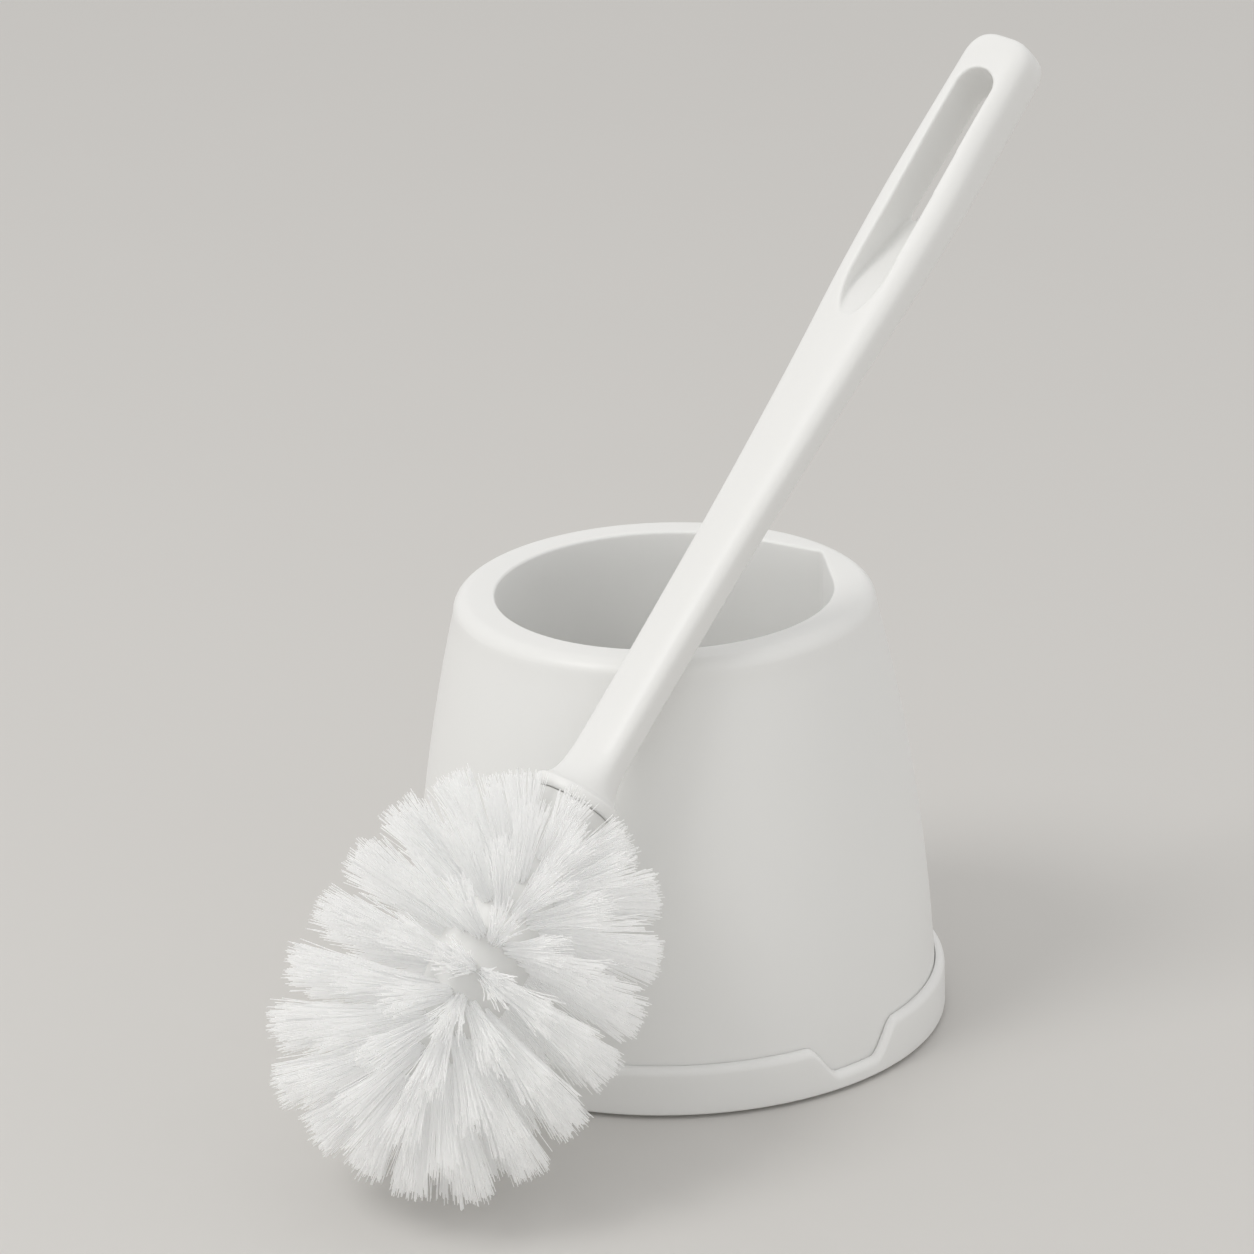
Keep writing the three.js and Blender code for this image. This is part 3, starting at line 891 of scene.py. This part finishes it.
def filament_tree():
    """Turns each point of a mesh, one per tuft, into a tuft of bowed filaments."""
    tree = bpy.data.node_groups.new("Tufts of filaments", "GeometryNodeTree")
    face = tree.interface
    face.new_socket("Geometry", in_out="INPUT", socket_type="NodeSocketGeometry")
    for name, kind in (
        ("Filaments", "NodeSocketInt"),
        ("Root radius", "NodeSocketFloat"),
        ("Tip radius", "NodeSocketFloat"),
        ("Filament radius", "NodeSocketFloat"),
        ("Unevenness", "NodeSocketFloat"),
        ("Bend", "NodeSocketFloat"),
        ("Seed", "NodeSocketInt"),
        ("Material", "NodeSocketMaterial"),
    ):
        face.new_socket(name, in_out="INPUT", socket_type=kind)
    face.new_socket("Geometry", in_out="OUTPUT", socket_type="NodeSocketGeometry")
    make = TreeMaker(tree)
    given = make.add("NodeGroupInput").outputs
    copies = make.add(
        "GeometryNodeDuplicateElements",
        {"Geometry": given["Geometry"], "Amount": given["Filaments"]},
        domain="POINT",
    )
    index = make.add("GeometryNodeInputIndex").outputs[0]
    place = make.add("GeometryNodeInputPosition").outputs[0]
    reach = make.attribute("reach", "FLOAT_VECTOR")
    around = make.attribute("around", "FLOAT_VECTOR")
    along = make.vector("NORMALIZE", make.vector("CROSS_PRODUCT", around, reach))
    seeds = [make.maths("ADD", given["Seed"], step) for step in range(8)]
    turn = make.random(0, 2 * math.pi, seeds[0], index)
    radius = make.maths("POWER", make.random(0, 1, seeds[1], index), 0.5)
    right = make.maths("MULTIPLY", radius, make.maths("COSINE", turn))
    ahead = make.maths("MULTIPLY", radius, make.maths("SINE", turn))
    disc = make.vector("ADD", make.scaled(around, right), make.scaled(along, ahead))
    uneven = make.maths("MULTIPLY", make.random(-1.25, 0.5, seeds[2], index), given["Unevenness"])
    length = make.maths("ADD", uneven, 1.0)
    stray = make.random(0.72, 1.12, seeds[3], index)
    spread = make.maths("MULTIPLY", given["Tip radius"], stray)
    root = make.vector("ADD", place, make.scaled(disc, given["Root radius"]))
    tip = make.vector("ADD", place, make.scaled(reach, length))
    tip = make.vector("ADD", tip, make.scaled(disc, spread))
    size_of = make.add("ShaderNodeVectorMath", operation="LENGTH")
    tree.links.new(reach, size_of.inputs[0])
    bow = make.maths("MULTIPLY", size_of.outputs["Value"], given["Bend"])
    side_a = make.maths("MULTIPLY", bow, make.random(-1, 1, seeds[4], index))
    side_b = make.maths("MULTIPLY", bow, make.random(-1, 1, seeds[5], index))
    middle = make.vector("ADD", root, tip)
    middle = make.scaled(middle, 0.5)
    middle = make.vector("SUBTRACT", middle, make.scaled(disc, make.maths("MULTIPLY", spread, 0.2)))
    middle = make.vector("ADD", middle, make.scaled(around, side_a))
    middle = make.vector("ADD", middle, make.scaled(along, side_b))
    stored = copies.outputs["Geometry"]
    for name, value in (("root", root), ("middle", middle), ("tip", tip)):
        stored = make.add(
            "GeometryNodeStoreNamedAttribute",
            {"Geometry": stored, "Name": name, "Value": value},
            data_type="FLOAT_VECTOR", domain="POINT",
        ).outputs[0]
    line = make.add("GeometryNodeCurvePrimitiveLine")
    line = make.add("GeometryNodeResampleCurve", {"Curve": line.outputs[0], "Count": 5})
    spread_out = make.add(
        "GeometryNodeInstanceOnPoints", {"Points": stored, "Instance": line.outputs[0]}
    )
    real = make.add("GeometryNodeRealizeInstances", {"Geometry": spread_out.outputs[0]})
    part = make.add("GeometryNodeSplineParameter").outputs["Factor"]
    rest = make.maths("SUBTRACT", 1.0, part)
    weights = (
        ("root", make.maths("MULTIPLY", rest, rest)),
        ("middle", make.maths("MULTIPLY", make.maths("MULTIPLY", rest, part), 2.0)),
        ("tip", make.maths("MULTIPLY", part, part)),
    )
    path = None
    for name, weight in weights:
        share_of = make.scaled(make.attribute(name, "FLOAT_VECTOR"), weight)
        path = share_of if path is None else make.vector("ADD", path, share_of)
    bowed = make.add(
        "GeometryNodeSetPosition", {"Geometry": real.outputs[0], "Position": path}
    ).outputs[0]
    taper = make.maths("SUBTRACT", 1.0, make.maths("MULTIPLY", part, 0.25))
    thick = make.maths("MULTIPLY", given["Filament radius"], taper)
    profile = make.add("GeometryNodeCurvePrimitiveCircle", {"Resolution": 4, "Radius": 1.0})
    skin = make.add(
        "GeometryNodeCurveToMesh",
        {
            "Curve": bowed,
            "Profile Curve": profile.outputs[0],
            "Scale": thick,
            "Fill Caps": True,
        },
    )
    smooth = make.add("GeometryNodeSetShadeSmooth", {"Geometry": skin.outputs[0]})
    whole = make.add("GeometryNodeRealizeInstances", {"Geometry": smooth.outputs[0]})
    dressed = make.add(
        "GeometryNodeSetMaterial", {"Geometry": whole.outputs[0], "Material": given["Material"]}
    )
    result = make.add("NodeGroupOutput")
    tree.links.new(dressed.outputs[0], result.inputs["Geometry"])
    return tree


def set_input(modifier, name, value):
    """Sets a modifier's input by its socket's identifier."""
    for item in modifier.node_group.interface.items_tree:
        if item.item_type == "SOCKET" and item.in_out == "INPUT" and item.name == name:
            modifier[item.identifier] = value
            return
    raise KeyError(name)


class Bristles(bpy.types.Operator):
    """Make the rings of tufts, each tuft from separate filaments"""

    bl_idname = "toilet_brush.bristles"
    bl_label = "Bristles"

    def execute(self, context):
        sizes = context.scene.head_sizes
        tree = filament_tree()
        material = bristle_material()
        place = brush_frame()
        turn = place.to_3x3()
        for number, (node, tufts) in enumerate(zip(RING_NODES, tuft_rings(sizes))):
            mesh = bpy.data.meshes.new(node + "_roots")
            mesh.from_pydata([place @ root for root, _, _ in tufts], [], [])
            for name, column in (("reach", 1), ("around", 2)):
                layer = mesh.attributes.new(name, "FLOAT_VECTOR", "POINT")
                for index, tuft in enumerate(tufts):
                    layer.data[index].vector = turn @ tuft[column]
            roots = bpy.data.objects.new(node + "_roots", mesh)
            context.scene.collection.objects.link(roots)
            grow = roots.modifiers.new("Grow", "NODES")
            grow.node_group = tree
            set_input(grow, "Filaments", sizes.filaments)
            set_input(grow, "Root radius", sizes.tuft_root)
            set_input(grow, "Tip radius", sizes.tuft_tip)
            set_input(grow, "Filament radius", sizes.filament)
            set_input(grow, "Unevenness", sizes.unevenness)
            set_input(grow, "Bend", sizes.bend)
            set_input(grow, "Seed", sizes.seed + 20 * number)
            set_input(grow, "Material", material)
            grown = applied(roots)
            if not grown.polygons:
                raise RuntimeError("no filaments grew for " + node)
            roots.modifiers.clear()
            dropped(roots)
            grown.name = node + "_filaments"
            piece = bpy.data.objects.new(node + "_filaments", grown)
            context.scene.collection.objects.link(piece)
            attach(piece, "brush")
            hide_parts(node)
        return {"FINISHED"}


# Finishes -------------------------------------------------------------------------------------

# Lowest and highest roughness, scale and strength of the grain, specular level.
PLASTIC_SURFACE = (0.34, 0.46, 700.0, 0.12, 0.45)
BRISTLE_SURFACE = (0.42, 0.56, 1400.0, 0.05, 0.4)
FLOOR_SURFACE = (0.7, 0.8, 60.0, 0.0, 0.2)
# Translucency, then the strength of a painted emission: light painted into the plastic and the
# filaments, standing in for light bounced inside thin walls and between filaments.
PLASTIC_TRANSLUCENCY_AND_PAINTED_GLOW = (0.4, 0.018)
BRISTLE_TRANSLUCENCY_AND_PAINTED_GLOW = (0.8, 0.072)


def soft_patches():
    """Node group: slow and fine unevenness of a moulded or drawn plastic surface."""
    name = "Soft patches"
    if name in bpy.data.node_groups:
        return bpy.data.node_groups[name]
    tree = bpy.data.node_groups.new(name, "ShaderNodeTree")
    face = tree.interface
    for label, value in (
        ("Patch scale", 9.0),
        ("Grain scale", 900.0),
        ("Roughness low", 0.33),
        ("Roughness high", 0.42),
    ):
        socket = face.new_socket(label, in_out="INPUT", socket_type="NodeSocketFloat")
        socket.default_value = value
    for label, kind in (("Light", "Color"), ("Dark", "Color")):
        face.new_socket(label, in_out="INPUT", socket_type="NodeSocketColor")
    face.new_socket("Colour", in_out="OUTPUT", socket_type="NodeSocketColor")
    face.new_socket("Roughness", in_out="OUTPUT", socket_type="NodeSocketFloat")
    face.new_socket("Height", in_out="OUTPUT", socket_type="NodeSocketFloat")
    make = TreeMaker(tree)
    given = make.add("NodeGroupInput").outputs
    place = make.add("ShaderNodeTexCoord").outputs["Object"]
    patches = make.add(
        "ShaderNodeTexNoise", {"Vector": place, "Scale": given["Patch scale"], "Detail": 3.0}
    ).outputs[0]
    grain = make.add(
        "ShaderNodeTexNoise", {"Vector": place, "Scale": given["Grain scale"], "Detail": 2.0}
    ).outputs[0]
    colour_mix = make.add("ShaderNodeMix", data_type="RGBA")
    tree.links.new(patches, colour_mix.inputs["Factor"])
    colours = [s for s in colour_mix.inputs if s.type == "RGBA"]
    tree.links.new(given["Dark"], colours[0])
    tree.links.new(given["Light"], colours[1])
    mixed = next(s for s in colour_mix.outputs if s.type == "RGBA")
    slow = make.maths("MULTIPLY", patches, 0.6)
    fine = make.maths("MULTIPLY", grain, 0.4)
    both = make.maths("ADD", slow, fine)
    rough = make.add(
        "ShaderNodeMapRange",
        {"Value": both, "To Min": given["Roughness low"], "To Max": given["Roughness high"]},
    ).outputs[0]
    result = make.add("NodeGroupOutput")
    tree.links.new(mixed, result.inputs["Colour"])
    tree.links.new(rough, result.inputs["Roughness"])
    tree.links.new(grain, result.inputs["Height"])
    return tree


def patched_material(name, light, dark, surface, translucency_and_painted_glow=(0.0, 0.0)):
    """A plastic of two close colours.

    surface is its lowest and highest roughness, the scale and strength of its grain, and its
    specular level. The last argument is how much light passes through it, and the strength of
    a painted emission that stands in for light bounced inside a thin wall or a bundle of filaments.
    """
    low, high, grain, strength, reflection = surface
    passing, painted_glow_strength = translucency_and_painted_glow
    material = bpy.data.materials.new(name)
    material.use_nodes = True
    tree = material.node_tree
    tree.nodes.clear()
    make = TreeMaker(tree)
    patches = make.add("ShaderNodeGroup", node_tree=soft_patches())
    patches.inputs["Light"].default_value = (*light, 1)
    patches.inputs["Dark"].default_value = (*dark, 1)
    patches.inputs["Roughness low"].default_value = low
    patches.inputs["Roughness high"].default_value = high
    patches.inputs["Grain scale"].default_value = grain
    bump = make.add(
        "ShaderNodeBump",
        {"Height": patches.outputs["Height"], "Strength": strength, "Distance": 0.0002},
    )
    shader = make.add(
        "ShaderNodeBsdfPrincipled",
        {
            "Base Color": patches.outputs["Colour"],
            "Roughness": patches.outputs["Roughness"],
            "Normal": bump.outputs[0],
            "IOR": 1.49,
            "Specular IOR Level": reflection,
            "Subsurface Weight": passing,
            "Subsurface Radius": (1.0, 1.0, 1.0),
            "Subsurface Scale": 2 * MM,
            # Painted light: a white emission that brightens the surface as bounced light would.
            "Emission Color": (1.0, 1.0, 1.0, 1.0),
            "Emission Strength": painted_glow_strength,
        },
    )
    result = make.add("ShaderNodeOutputMaterial")
    tree.links.new(shader.outputs[0], result.inputs["Surface"])
    return material


def white_plastic(name):
    finishes = bpy.context.scene.finishes
    return patched_material(
        name, finishes.plastic, finishes.plastic_shade, PLASTIC_SURFACE, PLASTIC_TRANSLUCENCY_AND_PAINTED_GLOW
    )


def bristle_material():
    finishes = bpy.context.scene.finishes
    return patched_material(
        "bristle_nylon", finishes.bristle, finishes.bristle_shade, BRISTLE_SURFACE, BRISTLE_TRANSLUCENCY_AND_PAINTED_GLOW
    )


# Studio ---------------------------------------------------------------------------------------

KEY_PLACE = (-1.15, -0.75, 1.75)
KEY_TARGET = (0, 0, 0.08)
KEY_TINT = (1, 0.99, 0.97)
FILL_PLACE = (1.5, -1.2, 1.0)
FILL_TARGET = (0, 0, 0.1)
FLOOR_REACH = 7.0


def area_light(name, place, target, width, power, tint):
    light = bpy.data.lights.new(name, "AREA")
    light.shape = "DISK"
    light.size = width
    light.energy = power
    light.color = tint
    lamp = bpy.data.objects.new(name, light)
    lamp.location = place
    lamp.rotation_euler = (Vector(target) - Vector(place)).to_track_quat("-Z", "Y").to_euler()
    bpy.context.scene.collection.objects.link(lamp)


class Studio(bpy.types.Operator):
    """Make the plain floor, the soft lights and the camera"""

    bl_idname = "toilet_brush.studio"
    bl_label = "Studio"

    def execute(self, context):
        scene = context.scene
        settings = scene.studio_settings
        tone = scene.finishes.floor
        darker = [value * 0.985 for value in tone]
        floor_material = patched_material("studio_floor", tone, darker, FLOOR_SURFACE)
        reach = FLOOR_REACH
        points = [(-reach, -reach, 0), (reach, -reach, 0), (reach, reach, 0), (-reach, reach, 0)]
        mesh = bpy.data.meshes.new("studio_floor")
        mesh.from_pydata(points, [], [(0, 1, 2, 3)])
        mesh.materials.append(floor_material)
        floor = bpy.data.objects.new("studio_floor", mesh)
        scene.collection.objects.link(floor)
        area_light("key_light", KEY_PLACE, KEY_TARGET, 0.9, settings.key_power, KEY_TINT)
        area_light("fill_light", FILL_PLACE, FILL_TARGET, 1.4, settings.fill_power, (1, 1, 1))
        world = bpy.data.worlds.new("studio_world")
        world.use_nodes = True
        background = world.node_tree.nodes["Background"]
        background.inputs["Color"].default_value = (1.0, 0.992, 0.98, 1)
        background.inputs["Strength"].default_value = settings.surroundings
        scene.world = world
        scene.view_settings.view_transform = "Standard"
        scene.cycles.diffuse_bounces = 12
        camera_data = bpy.data.cameras.new("camera")
        camera_data.sensor_width = 36
        camera_data.lens = settings.lens
        camera = bpy.data.objects.new("camera", camera_data)
        tilt, roll = settings.camera_tilt, settings.camera_roll
        side = Vector((1, 0, 0))
        up = Vector((0, math.sin(tilt), math.cos(tilt)))
        away = Vector((0, math.cos(tilt), -math.sin(tilt)))
        right = side * math.cos(roll) + up * math.sin(roll)
        top = up * math.cos(roll) - side * math.sin(roll)
        place = Matrix((right, top, -away)).transposed().to_4x4()
        place.translation = settings.camera_place
        camera.matrix_world = place
        scene.collection.objects.link(camera)
        scene.camera = camera
        return {"FINISHED"}


# Panel ----------------------------------------------------------------------------------------

OPERATORS = [BaseDish, HolderShell, Handle, HeadCore, Bristles, Studio]


class ToiletBrushPanel(bpy.types.Panel):
    """Lists the pieces, with their sizes and finishes"""

    bl_idname = "VIEW3D_PT_toilet_brush"
    bl_label = "Toilet brush"
    bl_space_type = "VIEW_3D"
    bl_region_type = "UI"
    bl_category = "Toilet brush"

    def draw(self, context):
        for operator in OPERATORS:
            self.layout.operator(operator.bl_idname)
        for name, group in GROUPS.items():
            box = self.layout.box()
            box.label(text=name.replace("_", " ").capitalize())
            for label in group.__annotations__:
                box.prop(getattr(context.scene, name), label)


def register():
    for group in GROUPS.values():
        bpy.utils.register_class(group)
    for name, group in GROUPS.items():
        setattr(bpy.types.Scene, name, bpy.props.PointerProperty(type=group))
    for operator in OPERATORS:
        bpy.utils.register_class(operator)
    bpy.utils.register_class(ToiletBrushPanel)


def unregister():
    bpy.utils.unregister_class(ToiletBrushPanel)
    for operator in reversed(OPERATORS):
        bpy.utils.unregister_class(operator)
    for name in GROUPS:
        delattr(bpy.types.Scene, name)
    for group in reversed(list(GROUPS.values())):
        bpy.utils.unregister_class(group)


def main():
    register()
    bpy.ops.toilet_brush.base_dish()
    bpy.ops.toilet_brush.holder_shell()
    bpy.ops.toilet_brush.handle()
    bpy.ops.toilet_brush.head_core()
    bpy.ops.toilet_brush.bristles()
    bpy.ops.toilet_brush.studio()


if __name__ == "__main__":
    main()
